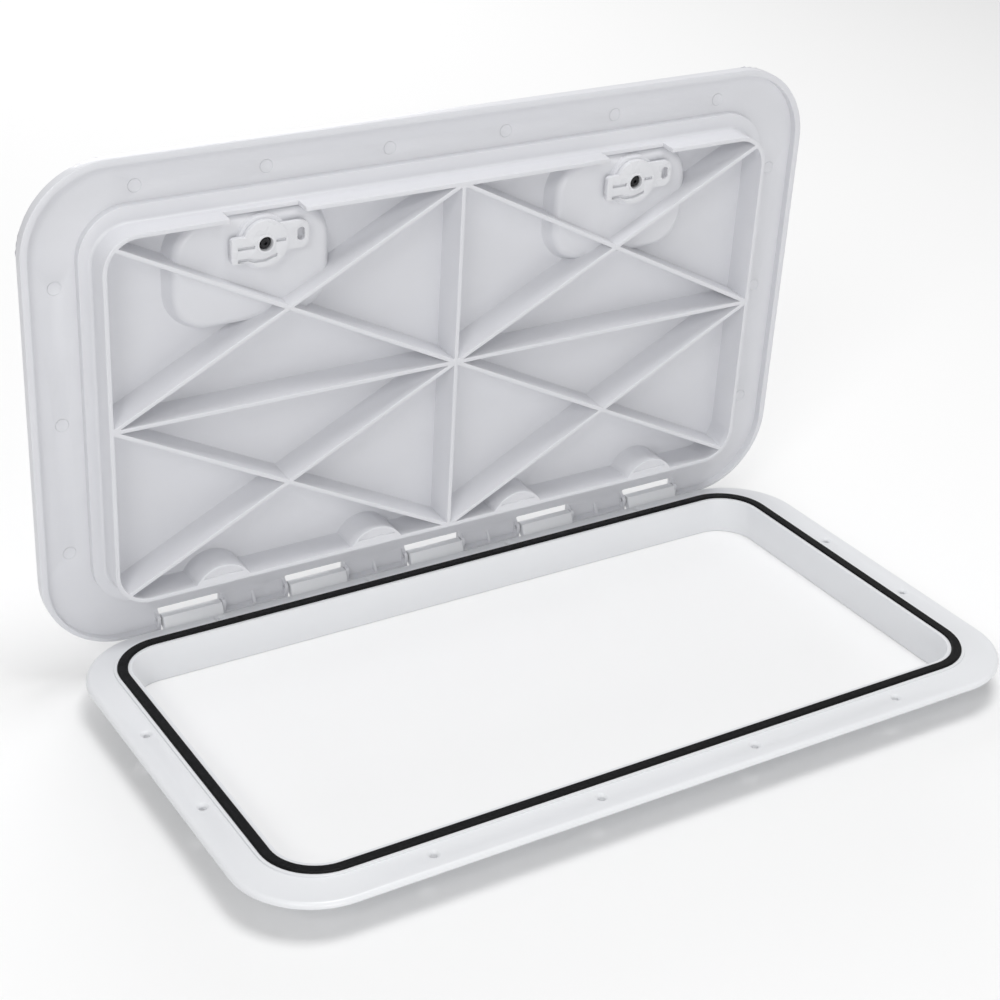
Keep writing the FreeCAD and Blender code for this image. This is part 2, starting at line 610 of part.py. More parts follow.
# ---------------------------------------------------------------- hinge pins
def make_hinge_pin(place):
    """A pin through one knuckle, its tips in the lid's cheeks on both sides."""
    body = new_body("hinge_pin_%d" % place)
    offset = place - (KNUCKLES + 1) // 2
    start = "%d * knuckle_pitch - knuckle_gap / 2 - pin_bite" % offset
    section = new_sketch(body, body.Name + "_section", start, "YZ_Plane")
    draw_circle(section, "hinge_y", "hinge_z", "pin_radius")
    pad(body, section, "knuckle_gap + 2 * pin_bite")
    ends = edges_where(body, lambda box: box.XLength < 0.01)
    fillet(body, body.Name + "_tips", ends, "pin_tip", "Chamfer")
    return body


# ---------------------------------------------------------------- lid
def add_lid_plate(body, middle):
    """The plate with its rounded edge, the lip round it and the land that meets the seal."""
    plate = new_sketch(body, "lid_plate", "plate_z", shift_y=middle)
    draw_round_rectangle(plate, "-lid_length / 2", "lid_length / 2", "-lid_front", "lid_back",
                         "lid_corner")
    pad(body, plate, "lid_skin")
    fillet(body, "lid_edge", level_edges(body, "top_z"), "lid_edge_round")

    lip = new_sketch(body, "lid_lip", "plate_z", shift_y=middle)
    draw_round_rectangle(lip, "-lid_length / 2", "lid_length / 2", "-lid_front", "lid_back",
                         "lid_corner")
    draw_round_rectangle(
        lip,
        "-(lid_length / 2 - lip_width)", "lid_length / 2 - lip_width",
        "-(lid_front - lip_width)", "lid_back - lip_back", "lid_corner - lip_width",
    )
    pad(body, lip, "lip_drop", down=True)

    land = new_sketch(body, "lid_land", "plate_z", shift_y=middle)
    draw_round_rectangle(
        land,
        "-(wall_x + land_side)", "wall_x + land_side",
        "-(wall_y + land_front)", "wall_y + land_side",
        "wall_corner + land_side",
    )
    draw_round_rectangle(
        land,
        "-(wall_x - wall_thick / 2)", "wall_x - wall_thick / 2",
        "-(wall_y - wall_thick / 2)", "wall_y - wall_thick / 2",
        "wall_corner - wall_thick / 2",
    )
    pad(body, land, "lip_drop", down=True)


def add_lid_wall(body, middle):
    """The wall that drops into the collar, rounded at its root."""
    wall = ring_sketch(body, "lid_wall", "wall_z", "wall_x - wall_thick", "wall_y - wall_thick",
                       "wall_corner - wall_thick", "wall_thick", middle)
    pad(body, wall, "plate_z - wall_z", taper="wall_draft")
    spread = size("wall_height") * math.tan(math.radians(size("wall_draft"))) + 0.1

    def at_root(box):
        over_x = max(-box.XMin, box.XMax) - size("wall_x")
        over_y = max(-box.YMin - size("hinge_y"), box.YMax + size("hinge_y")) - size("wall_y")
        return max(over_x, over_y) > 0 and over_x < spread and over_y < spread

    fillet(body, "lid_wall_root", level_edges(body, "land_z", at_root), "wall_root")


def add_lid_ribs(body, middle):
    """A rib across, one along, two diagonals and a rhombus between the walls' middles."""
    reach_x = "(wall_x - wall_thick / 2)"
    reach_y = "(wall_y - wall_thick / 2)"
    inward = "(wall_corner - wall_thick / 2) * (1 - cos(45))"
    corner_x = "(wall_x - wall_thick / 2 - %s)" % inward
    corner_y = "(wall_y - wall_thick / 2 - %s)" % inward
    diagonal = "sqrt(%s ^ 2 + %s ^ 2)" % (corner_x, corner_y)
    side = "sqrt(%s ^ 2 + %s ^ 2) / 2" % (reach_x, reach_y)
    ribs = [
        ("along", "0", "0", reach_x, "0"),
        ("across", "0", "0", reach_y, "90"),
        ("diagonal_1", "0", "0", diagonal, "atan(%s / %s)" % (corner_y, corner_x)),
        ("diagonal_2", "0", "0", diagonal, "-atan(%s / %s)" % (corner_y, corner_x)),
    ]
    for side_x in (-1, 1):
        for side_y in (-1, 1):
            ribs.append((
                "rhombus_%d" % (2 * side_x + side_y + 4),
                "%d * %s / 2" % (side_x, reach_x), "%d * %s / 2" % (side_y, reach_y), side,
                "%d * atan(%s / %s)" % (-side_x * side_y, reach_y, reach_x),
            ))
    for name, rib_x, rib_y, half, angle in ribs:
        rib = new_sketch(body, "rib_" + name, "wall_z", shift_x=rib_x,
                         shift_y="%s + %s" % (middle, rib_y), turn=angle)
        draw_rectangle(rib, "-(%s)" % half, half, "-rib_thick / 2", "rib_thick / 2")
        pad(body, rib, "plate_z - wall_z + lid_skin / 2", taper="wall_draft")


def add_lid_bosses(body, middle):
    """Half-round bosses on the hinge wall, each with a low rim round its top."""
    chord = "(wall_y - wall_thick / 2)"
    for index, step in enumerate(SCREW_STEPS, start=1):
        boss = new_sketch(body, "boss_%d" % index, "wall_z", shift_y=middle, turn="180")
        draw_arch(boss, "%g * screw_pitch" % step, "-%s" % chord, "relief_reach",
                  "relief_radius")
        pad(body, boss, "plate_z - wall_z + lid_skin / 2")
        step_cut = new_sketch(body, "boss_step_%d" % index, "wall_z", shift_y=middle, turn="180")
        flat_y = "-%s + relief_reach - relief_rim - relief_flat" % chord
        draw_arch(step_cut, "%g * screw_pitch" % step, flat_y, "relief_flat",
                  "relief_radius - relief_rim")
        pocket(body, step_cut, "relief_step", up=True)


def dish_outline(side):
    """Left, right, front and back of a dish's outer outline, as formulas."""
    left = "(%d * latch_x - dish_shift - dish_width / 2)" % side
    front = "(-(wall_y - wall_thick / 10))"
    return left, left + " + dish_width", front, front + " + dish_depth"


def add_dish_bulge(body, middle, side, word):
    """The closed outside of a latch dish, a soft bulge inside the lid."""
    left, right, front, back = dish_outline(side)
    slope = "(plate_z - dish_in_z) * tan(dish_draft)"
    bulge = new_sketch(body, "dish_bulge_" + word, "dish_in_z", shift_y=middle)
    draw_round_rectangle(bulge, left + " + " + slope, right + " - " + slope,
                         front + " + " + slope, back + " - " + slope, "dish_corner - " + slope)
    pad(body, bulge, "plate_z - dish_in_z + lid_skin / 2", taper="dish_draft")
    centre = side * size("latch_x")
    reach = size("dish_width")

    def on_bulge(box):
        return abs(box.XMin - centre) < reach and abs(box.XMax - centre) < reach

    fillet(body, "dish_round_" + word, level_edges(body, "dish_in_z", on_bulge), "dish_round")


def add_latch_dish(body, middle, side, word):
    """A dish sunk into the lid's top, the boss under the cam and the wall's notch."""
    axis = "%d * latch_x" % side
    left, right, front, back = dish_outline(side)
    boss = new_sketch(body, "cam_boss_" + word, "boss_z", shift_y=middle)
    draw_circle(boss, axis, "-latch_y", "boss_radius")
    pad(body, boss, "boss_height + dish_wall / 2")
    dish = new_sketch(body, "dish_" + word, "top_z", shift_y=middle)
    draw_round_rectangle(dish, left + " + dish_wall", right + " - dish_wall",
                         front + " + dish_wall", back + " - dish_wall",
                         "dish_corner - dish_wall")
    pocket(body, dish, "dish_sink", taper="-dish_draft")
    centre = side * size("latch_x")
    reach = size("dish_width")

    def in_dish(box):
        return abs(box.XMin - centre) < reach and abs(box.XMax - centre) < reach

    fillet(body, "dish_foot_" + word, level_edges(body, "dish_z", in_dish), "dish_foot")
    hole = new_sketch(body, "stem_hole_" + word, "dish_z", shift_y=middle)
    draw_circle(hole, axis, "-latch_y", "stem_radius + stem_fit")
    pocket(body, hole)
    groove = new_sketch(body, "ring_seat_" + word, "dish_z", shift_y=middle)
    draw_circle(groove, axis, "-latch_y", "stem_radius + 2 * ring_radius + 2 * ring_fit")
    pocket(body, groove, "2 * ring_radius + ring_fit")
    seat = new_sketch(body, "cam_seat_" + word, "boss_z", shift_y=middle)
    draw_circle(seat, axis, "-latch_y", "seat_radius")
    pocket(body, seat, "seat_depth", up=True)
    notch = new_sketch(body, "cam_notch_" + word, "wall_z", shift_y=middle)
    draw_rectangle(notch, "%s - notch_half" % axis, "%s + notch_half" % axis,
                   "-(wall_y + wall_thick / 2)", "-(wall_y - wall_thick - wall_fit_side)")
    pocket(body, notch, "cam_z - wall_z + notch_over", up=True)


def add_lid_hinge(body):
    """Notches for the frame's knuckles, cheeks with bores beside them, small webs in the tabs."""
    back = "(lid_back - hinge_y)"
    first = "-%d * knuckle_pitch" % (KNUCKLES // 2)
    notch = new_sketch(body, "hinge_notch", "top_z + 1", shift_x=first)
    draw_rectangle(notch, "-knuckle_gap / 2", "knuckle_gap / 2", "-notch_reach", back + " + 5")
    repeated = [pocket(body, notch)]
    for side, word in SIDES:
        start = "%s + %d * (knuckle_gap / 2) %s" % (first, side, "- cheek_thick" if side < 0 else "")
        cheek = new_sketch(body, "hinge_cheek_" + word, start, "YZ_Plane")
        draw_polygon(cheek, [
            ("-notch_reach + lip_back / 2", "plate_z + lid_skin / 2"),
            ("-notch_reach + lip_back / 2", "plate_z"),
            ("-cheek_radius", "cheek_radius * 0.3"),
            ("-cheek_radius * 0.92", "-cheek_radius * 0.4"),
            ("-cheek_radius * 0.4", "-cheek_radius * 0.92"),
            ("cheek_radius * 0.4", "-cheek_radius * 0.92"),
            (back + " - lip_back", "land_z"),
            (back + " - lip_back / 2", "land_z"),
            (back + " - lip_back / 2", "plate_z + lid_skin / 2"),
        ])
        repeated.append(pad(body, cheek, "cheek_thick"))
    repeat(body, "hinge_notches", repeated, "knuckle_pitch", KNUCKLES)
    first_web = "-%g * knuckle_pitch - gusset_thick / 2" % ((KNUCKLES - 2) / 2)
    web = new_sketch(body, "hinge_web", first_web, "YZ_Plane")
    draw_polygon(web, [
        (back + " - lip_back / 2", "land_z"),
        (back + " - lip_back / 2", "plate_z + lid_skin / 2"),
        (back + " - lip_back - gusset_reach", "plate_z + lid_skin / 2"),
        (back + " - lip_back - gusset_reach", "plate_z"),
        (back + " - lip_back", "land_z"),
    ])
    repeat(body, "hinge_webs", [pad(body, web, "gusset_thick")], "knuckle_pitch", KNUCKLES - 1)
    bore_half = "%g * knuckle_pitch" % (KNUCKLES / 2)
    bore = new_sketch(body, "lid_pin_bore", "-" + bore_half, "YZ_Plane")
    draw_circle(bore, "0", "0", "bore_radius")
    pocket(body, bore, "2 * " + bore_half, up=True)


def add_mould_marks(body, middle):
    """Round marks of the mould's pins on the plate outside the land."""
    marks = new_sketch(body, "mould_marks", "plate_z", shift_y=middle)
    front = "-(wall_y + land_front + mark_front)"
    end = "(wall_x + land_side + mark_end)"
    places = [("%g * mark_pitch" % step, front) for step in (-2.5, -1.5, -0.5, 0.5, 1.5, 2.5)]
    places += [("%d * %s" % (side, end), "%d * mark_end_pitch" % step)
               for side in (-1, 1) for step in (-1, 0, 1)]
    for mark_x, mark_y in places:
        draw_circle(marks, mark_x, mark_y, "mark_radius")
    pocket(body, marks, "mark_depth", up=True)


def make_lid():
    """Plate with lip, sealing land, wall, ribs, bosses, latch dishes and hinge tabs."""
    body = new_body("lid")
    middle = "-hinge_y"
    add_lid_plate(body, middle)
    for side, word in SIDES:
        add_dish_bulge(body, middle, side, word)
    add_lid_wall(body, middle)
    add_lid_ribs(body, middle)
    add_lid_bosses(body, middle)
    for side, word in SIDES:
        add_latch_dish(body, middle, side, word)
    add_lid_hinge(body)
    add_mould_marks(body, middle)
    body.Tip.Refine = True
    ride_on_lid(body)
    return body


# ---------------------------------------------------------------- latches
def round_piece(name, axis, level, radius, height, hole=None):
    """A disc or washer on a latch axis, from a level upwards."""
    body = new_body(name)
    section = new_sketch(body, name + "_section", level, shift_x=axis,
                         shift_y="-hinge_y - latch_y")
    draw_circle(section, "0", "0", radius)
    if hole:
        draw_circle(section, "0", "0", hole)
    pad(body, section, height)
    return body


def make_stem_seal(side, word):
    """Rubber ring round the stem in the dish's floor."""
    name = "stem_seal_" + word
    ring = doc.addObject("Part::Torus", name)
    ring.Label = name
    ring.setExpression("Radius1", bound("stem_radius + ring_fit + ring_radius"))
    ring.setExpression("Radius2", bound("ring_radius"))
    reach = "(-hinge_y - latch_y)"
    height = "(dish_z - ring_radius - ring_fit / 2)"
    turn = FreeCAD.Rotation(V(-1, 0, 0), size("lid_angle"))
    ring.Placement = FreeCAD.Placement(V(0, 0, 0), turn)
    ring.setExpression("Placement.Rotation.Angle", bound("lid_angle"))
    ring.setExpression("Placement.Base.x", bound("%d * latch_x" % side))
    ring.setExpression("Placement.Base.y", bound(
        "hinge_y + %s * cos(lid_angle) + %s * sin(lid_angle)" % (reach, height)))
    ring.setExpression("Placement.Base.z", bound(
        "hinge_z - %s * sin(lid_angle) + %s * cos(lid_angle)" % (reach, height)))
    subparts.append(ring)
    return ring


def make_cam(axis, word):
    """Hub with an open bore and a sleeve in the lid's seat, a wing, and a slotted tail."""
    body = new_body("cam_" + word)
    row = "-hinge_y - latch_y"

    def sketch(name, level):
        return new_sketch(body, "cam_%s_%s" % (name, word), level, shift_x=axis, shift_y=row)

    def wing_outline(target):
        draw_round_rectangle(target, "-cam_wing", "cam_hub / 2", "-cam_wing_high",
                             "cam_wing_low", "wing_round")

    hub = sketch("hub", "hub_z")
    draw_circle(hub, "0", "0", "cam_hub")
    pad(body, hub, "cam_plate + cam_rib")
    wing = sketch("wing", "hub_z")
    wing_outline(wing)
    pad(body, wing, "cam_plate + cam_rib")
    tail = sketch("tail", "plate_low_z")
    draw_round_rectangle(tail, "-cam_tail_round", "cam_tail", "-cam_tail_high", "cam_tail_low",
                         "cam_tail_round")
    pad(body, tail, "cam_plate")
    sleeve = sketch("sleeve", "cam_z - cam_plate / 2")
    draw_circle(sleeve, "0", "0", "cam_sleeve")
    pad(body, sleeve, "sleeve_z - cam_z + cam_plate / 2")
    ring = sketch("ring", "cam_low_z")
    draw_circle(ring, "0", "0", "cam_bore + ring_wall")
    pad(body, ring, "cam_ring + cam_rib")
    bore = sketch("bore", "cam_low_z")
    draw_circle(bore, "0", "0", "cam_bore")
    pocket(body, bore, "cam_bore_depth", up=True)
    socket = sketch("socket", "cam_low_z")
    half = "square_size / 2 + square_fit"
    draw_rectangle(socket, "-(%s)" % half, half, "-(%s)" % half, half)
    pocket(body, socket, up=True)

    slot = sketch("slot", "plate_low_z")
    slot_x = "cam_tail - slot_inset"
    slot_y = "(cam_tail_low - cam_tail_high) / 2"
    draw_round_rectangle(slot, slot_x + " - slot_width / 2", slot_x + " + slot_width / 2",
                         slot_y + " - slot_length / 2", slot_y + " + slot_length / 2",
                         "slot_width / 2 - 0.1")
    pocket(body, slot, up=True)
    grooves = sketch("grooves", "hub_z")
    left = "-cam_wing + cam_border"
    inner = "cam_bore + ring_wall + groove_inset"
    draw_rectangle(grooves, left, "-(%s)" % inner, "0", "cam_groove")
    draw_rectangle(grooves, inner, "cam_hub - 2 * groove_inset", "-cam_groove", "0")
    low = "cam_wing_low - cam_groove - groove_inset"
    high = "cam_wing_low - groove_inset"
    draw_polygon(grooves, [
        (left, low), ("-cam_hub * 0.7", low), ("-cam_hub * 0.45", low + " + groove_bend"),
        ("0", low + " + groove_bend"), ("cam_hub * 0.5", low + " - groove_bend / 3"),
        ("cam_hub * 0.5", high + " - groove_bend / 3"), ("0", high + " + groove_bend"),
        ("-cam_hub * 0.5", high + " + groove_bend"), ("-cam_hub * 0.75", high), (left, high),
    ])
    pocket(body, grooves, "cam_groove_depth", up=True)
    return body


def make_handle(axis, word):
    """Lever with a raised grip in the dish, a stem through the lid, a square in the cam."""
    body = new_body("handle_" + word)
    row = "-hinge_y - latch_y"

    def sketch(name, level):
        return new_sketch(body, "handle_%s_%s" % (name, word), level, shift_x=axis, shift_y=row)

    hub = sketch("hub", "dish_z + handle_play")
    draw_circle(hub, "0", "0", "handle_hub")
    pad(body, hub, "handle_plate")
    arm = sketch("arm", "dish_z + handle_play")
    draw_round_rectangle(arm, "-handle_reach", "handle_hub / 2", "-handle_width / 2",
                         "handle_width / 2", "handle_width / 2 - handle_play")
    pad(body, arm, "handle_plate")
    grip = sketch("grip", "dish_z + handle_play + handle_plate / 2")
    draw_round_rectangle(grip, "-(handle_reach - grip_inset)", "handle_hub - grip_inset",
                         "-grip_width / 2", "grip_width / 2", "grip_width / 2 - handle_play")
    pad(body, grip, "dish_sink - grip_below - handle_play - handle_plate / 2")
    stem = sketch("stem", "sleeve_z")
    draw_circle(stem, "0", "0", "stem_radius")
    pad(body, stem, "dish_z + handle_play - sleeve_z + handle_plate / 2")
    square = sketch("square", "cam_floor_z + cam_play")
    draw_rectangle(square, "-square_size / 2", "square_size / 2", "-square_size / 2",
                   "square_size / 2")
    pad(body, square, "sleeve_z - cam_floor_z - cam_play + 1")
    thread = sketch("thread", "cam_floor_z")
    draw_circle(thread, "0", "0", "screw_radius + screw_fit")
    pocket(body, thread, "screw_length - 2 * lock_washer + thread_spare", up=True)
    return body


def make_cam_screw(axis, word):
    """Pan-head screw with a six-sided socket, up through the cam into the stem."""
    name = "cam_screw_" + word
    body = round_piece(name, axis, "head_z - head_height", "head_radius", "head_height")
    row = "-hinge_y - latch_y"
    shank = new_sketch(body, name + "_shank", "head_z", shift_x=axis, shift_y=row)
    draw_circle(shank, "0", "0", "screw_radius")
    pad(body, shank, "screw_length")
    socket = new_sketch(body, name + "_socket", "head_z - head_height", shift_x=axis, shift_y=row)
    draw_polygon(socket, [("head_socket * cos(%d)" % turn, "head_socket * sin(%d)" % turn)
                          for turn in range(0, 360, 60)])
    pocket(body, socket, "socket_depth", up=True)
    return body


def make_latch(side, word):
    """All pieces of one latch: on the lid the seals and washer, on the cam everything else."""
    axis = "%d * latch_x" % side
    make_stem_seal(side, word)
    pieces = [
        round_piece("thrust_washer_" + word, axis, "seat_z - washer_thick",
                    "seat_radius - washer_inset", "washer_thick", "stem_radius + washer_inset"),
        make_handle(axis, word),
        make_cam(axis, word),
        round_piece("lock_washer_" + word, axis, "head_z", "cam_bore - lock_fit", "lock_washer",
                    "screw_radius + lock_fit"),
        make_cam_screw(axis, word),
    ]
    for piece in pieces:
        ride_on_lid(piece)


# ---------------------------------------------------------------- build, check, write
make_frame()
make_seal()
for pin_place in range(1, KNUCKLES + 1):
    make_hinge_pin(pin_place)
make_lid()
for latch_side, latch_word in SIDES:
    make_latch(latch_side, latch_word)
doc.recompute()

for thing in doc.Objects:
    if "Invalid" in thing.State or "Error" in thing.State:
        raise RuntimeError("failed object: " + thing.Name)
os.makedirs("parts", exist_ok=True)
for piece in subparts:
    shape = piece.Shape
    if shape.isNull() or not shape.isValid() or len(shape.Solids) != 1:
        raise RuntimeError("bad shape: " + piece.Label)
for piece in subparts:
    piece.Shape.exportStep("parts/%s.step" % piece.Label)
    print("%-22s %9.0f mm3" % (piece.Label, piece.Shape.Volume))
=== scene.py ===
# %% [markdown]
# # A boat's deck hatch, dressed around its CAD model
# The hatch is a white moulded frame with a black rubber seal, and a ribbed tray lid that stands
# open on five pinned knuckles. Two quarter-turn latches sit in the lid. The CAD model already has
# the right sizes and places, so this lesson never moves it. It gives every part its edges, its
# finish and its light. Everything here is in metres, with Z up and the hinge towards +Y.

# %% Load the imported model
import json
import math

import bmesh
import bpy
from mathutils import Matrix, Vector

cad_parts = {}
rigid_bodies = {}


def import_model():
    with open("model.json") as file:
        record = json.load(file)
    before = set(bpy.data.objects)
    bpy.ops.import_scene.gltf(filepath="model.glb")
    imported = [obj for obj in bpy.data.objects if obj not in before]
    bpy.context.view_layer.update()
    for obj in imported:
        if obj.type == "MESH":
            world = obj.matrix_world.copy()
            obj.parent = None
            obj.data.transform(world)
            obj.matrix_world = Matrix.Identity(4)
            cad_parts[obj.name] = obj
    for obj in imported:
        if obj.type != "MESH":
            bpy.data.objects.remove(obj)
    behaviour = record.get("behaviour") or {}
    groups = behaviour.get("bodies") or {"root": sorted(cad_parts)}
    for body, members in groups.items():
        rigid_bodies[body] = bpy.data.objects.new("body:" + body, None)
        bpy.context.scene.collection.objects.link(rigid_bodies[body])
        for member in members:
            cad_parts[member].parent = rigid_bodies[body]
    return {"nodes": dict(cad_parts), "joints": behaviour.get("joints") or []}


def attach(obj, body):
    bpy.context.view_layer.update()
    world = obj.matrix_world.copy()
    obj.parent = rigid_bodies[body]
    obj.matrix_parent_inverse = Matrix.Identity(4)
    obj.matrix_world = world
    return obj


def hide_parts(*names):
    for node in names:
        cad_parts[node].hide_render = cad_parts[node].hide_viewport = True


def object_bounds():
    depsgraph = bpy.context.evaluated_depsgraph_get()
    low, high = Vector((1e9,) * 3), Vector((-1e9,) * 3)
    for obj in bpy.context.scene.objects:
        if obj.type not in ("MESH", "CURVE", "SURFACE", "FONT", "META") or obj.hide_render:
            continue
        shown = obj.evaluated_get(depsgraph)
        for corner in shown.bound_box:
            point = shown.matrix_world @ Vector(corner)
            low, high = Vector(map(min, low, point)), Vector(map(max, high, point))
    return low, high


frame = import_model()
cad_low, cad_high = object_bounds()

SIDES = ("left", "right")
print("CAD box, mm:", [round(v * 1000, 1) for v in cad_low],
      [round(v * 1000, 1) for v in cad_high])

# %% [markdown]
# ## The camera
# A camera can be placed by hand until the picture looks right, or worked out from the direction
# it looks in. The second way is easier to check: an azimuth round the object, an elevation above
# the horizon, a small roll, a distance and the point it looks at. Those five give the camera's
# right, up and back directions, which are the columns of its matrix.

# %% Camera
AZIMUTH = math.radians(-33.147)
ELEVATION = math.radians(27.075)
ROLL = math.radians(2.486)
DISTANCE = 1.6619
LOOK_AT = Vector((0.1391, 0.2142, 0.0))
LENS = 74.21
SENSOR_WIDTH = 36.0
SHIFT = (-0.0549, -0.0067)
back = Vector((math.sin(AZIMUTH) * math.cos(ELEVATION),
               -math.cos(AZIMUTH) * math.cos(ELEVATION), math.sin(ELEVATION)))
level_right = Vector((0, 0, 1)).cross(back).normalized()
level_up = back.cross(level_right)
right = math.cos(ROLL) * level_right + math.sin(ROLL) * level_up
up = math.cos(ROLL) * level_up - math.sin(ROLL) * level_right
camera_data = bpy.data.cameras.new("camera")
camera_data.lens = LENS
camera_data.sensor_width = SENSOR_WIDTH
camera_data.shift_x, camera_data.shift_y = SHIFT
camera = bpy.data.objects.new("camera", camera_data)
bpy.context.scene.collection.objects.link(camera)
turned = Matrix((right, up, back)).transposed().to_4x4()
camera.matrix_world = Matrix.Translation(LOOK_AT + back * DISTANCE) @ turned
bpy.context.scene.camera = camera
print("camera at", [round(v, 3) for v in camera.matrix_world.translation])

# %% [markdown]
# ## Floor and light
# The hatch is shown as in a plain studio: a pale floor, four square lamps and an even white
# surround. The key lamp stands high at the left, a low lamp shines into the ribs from the front,
# a top lamp lights the floor and the frame, and a back lamp lights the outside of the lid. Area
# lamps give soft shadows because they are large, and the surround fills those shadows. The floor
# is one big plane just under the frame's collar.

# %% Floor
def deselect_all():
    """Leaves nothing selected, so that an operator acts only on the piece at hand."""
    for thing in bpy.context.view_layer.objects:
        thing.select_set(False)


def select_only(piece):
    """Makes one piece the only one selected, and the active one."""
    deselect_all()
    piece.select_set(True)
    bpy.context.view_layer.objects.active = piece


FLOOR_SIZE = 12.0
FLOOR_GAP = 0.0002
FLOOR_COLOUR = (0.93, 0.93, 0.93, 1)
FLOOR_ROUGHNESS = 0.9
FLOOR_SPECULAR = 0.1
deselect_all()
bpy.ops.mesh.primitive_plane_add(size=FLOOR_SIZE, location=(0, 0, cad_low.z - FLOOR_GAP))
floor = bpy.context.active_object
floor.name = "studio_floor"
floor_look = bpy.data.materials.new("pale_floor")
floor_look.use_nodes = True
floor_shader = floor_look.node_tree.nodes["Principled BSDF"]
floor_shader.inputs["Base Color"].default_value = FLOOR_COLOUR
floor_shader.inputs["Roughness"].default_value = FLOOR_ROUGHNESS
floor_shader.inputs["Specular IOR Level"].default_value = FLOOR_SPECULAR
floor.data.materials.append(floor_look)
print("floor at", round(floor.location.z, 4))

# %% Lights
def add_lamp(name, place, aim, width, power):
    """A square area lamp that faces a point."""
    lamp_data = bpy.data.lights.new(name, "AREA")
    lamp_data.shape = "SQUARE"
    lamp_data.size = width
    lamp_data.energy = power
    lamp = bpy.data.objects.new(name, lamp_data)
    bpy.context.scene.collection.objects.link(lamp)
    lamp.location = place
    lamp.rotation_mode = "QUATERNION"
    lamp.rotation_quaternion = (Vector(place) - Vector(aim)).to_track_quat("Z", "Y")


# Each lamp's name, place, aim, width in metres and power in watts.
LAMPS = (
    ("key_lamp", (-1.9, -1.7, 1.9), (0, 0.05, 0.1), 0.9, 16),
    ("low_lamp", (-0.5, -2.4, 0.25), (0, 0.15, 0.2), 0.9, 14),
    ("top_lamp", (0.2, -0.2, 2.8), (0, 0, 0), 1.2, 33),
    ("back_lamp", (0.6, 2.6, 1.6), (0, 0.1, 0.1), 1.5, 22),
)
SURROUND_STRENGTH = 0.47
for lamp in LAMPS:
    add_lamp(*lamp)
surround = bpy.data.worlds.new("white_surround")
surround.use_nodes = True
surround_light = surround.node_tree.nodes["Background"]
surround_light.inputs["Color"].default_value = (1, 1, 1, 1)
surround_light.inputs["Strength"].default_value = SURROUND_STRENGTH
bpy.context.scene.world = surround
bpy.context.scene.view_settings.view_transform = "Standard"

# %% [markdown]
# ## Finishes
# Every finish here is a node material, with no picture in it. Each starts as one Principled
# shader. Object coordinates drive noise, so the pattern is fixed to the piece and has the same
# size everywhere: this hatch's pieces all have their place in their mesh. Noise goes to three
# places, a very slight change of colour, a change of gloss, and a bump.

# %% A helper that wires noise into a shader
def node(tree, kind, x=0, y=0, **settings):
    """A new node at a place in the tree, with its settings."""
    made = tree.nodes.new(kind)
    made.location = (x, y)
    for key, value in settings.items():
        setattr(made, key, value)
    return made


def noise(tree, coordinates, scale, detail, stretch=(1, 1, 1)):
    """Noise with scale lumps per metre, stretched along an axis if asked."""
    mapping = node(tree, "ShaderNodeMapping", -900)
    mapping.inputs["Scale"].default_value = stretch
    tree.links.new(coordinates, mapping.inputs["Vector"])
    texture = node(tree, "ShaderNodeTexNoise", -700)
    texture.inputs["Scale"].default_value = scale
    texture.inputs["Detail"].default_value = detail
    tree.links.new(mapping.outputs["Vector"], texture.inputs["Vector"])
    return texture.outputs["Fac"]


def spread(tree, value, low, high, from_low=0.3, from_high=0.7):
    """Stretches a noise value to a range of its own."""
    ranged = node(tree, "ShaderNodeMapRange", -450)
    ranged.inputs["From Min"].default_value = from_low
    ranged.inputs["From Max"].default_value = from_high
    ranged.inputs["To Min"].default_value = low
    ranged.inputs["To Max"].default_value = high
    tree.links.new(value, ranged.inputs["Value"])
    return ranged.outputs["Result"]


def mix_colours(tree, amount, first, second):
    """A colour between two, by a value from 0 to 1."""
    mixer = node(tree, "ShaderNodeMix", -250, data_type="RGBA")
    tree.links.new(amount, mixer.inputs["Factor"])
    mixer.inputs["A"].default_value = (*first, 1)
    mixer.inputs["B"].default_value = (*second, 1)
    return mixer.outputs["Result"]


def bump(tree, height, strength, depth, below=None):
    """A bump of the given depth in metres, on top of another one if there is one."""
    made = node(tree, "ShaderNodeBump", -250, -300)
    made.inputs["Strength"].default_value = strength
    made.inputs["Distance"].default_value = depth
    tree.links.new(height, made.inputs["Height"])
    if below is not None:
        tree.links.new(below, made.inputs["Normal"])
    return made.outputs["Normal"]


def start_finish(name):
    """An empty finish: its tree, its shader and its object coordinates."""
    finish = bpy.data.materials.new(name)
    finish.use_nodes = True
    tree = finish.node_tree
    shader = tree.nodes["Principled BSDF"]
    place = node(tree, "ShaderNodeTexCoord", -1150)
    return finish, tree, shader, place.outputs["Object"]

# %% [markdown]
# ### Moulded white plastic
# The frame, lid, cams and handles are injection-moulded in satin white. The real surface has
# three scales: slow waves where the wall sank as it cooled, a fine spark-eroded grain from the
# mould, and a few darker flow marks. Slow noise bends the normals a little, fine noise gives the
# grain, and the middle scale varies colour and gloss. The lid and the frame are the same plastic,
# but the lid is given darker tints as painted shade for the standing lid, so the function takes
# their tints, roughness and grain.

# %% Plastic
# Scales are in lumps per metre, and depths in metres.
FLOW_SCALE, FLOW_STRETCH = 22, (1, 1, 2.2)
CLOUD_SCALE = 60
SINK_SCALE, SINK_STRENGTH, SINK_DEPTH = 16, 0.25, 0.0005
GRAIN_SCALE, GRAIN_DEPTH = 2600, 0.00006
PLASTIC_SPECULAR = 0.5
PLASTIC_IOR = 1.53


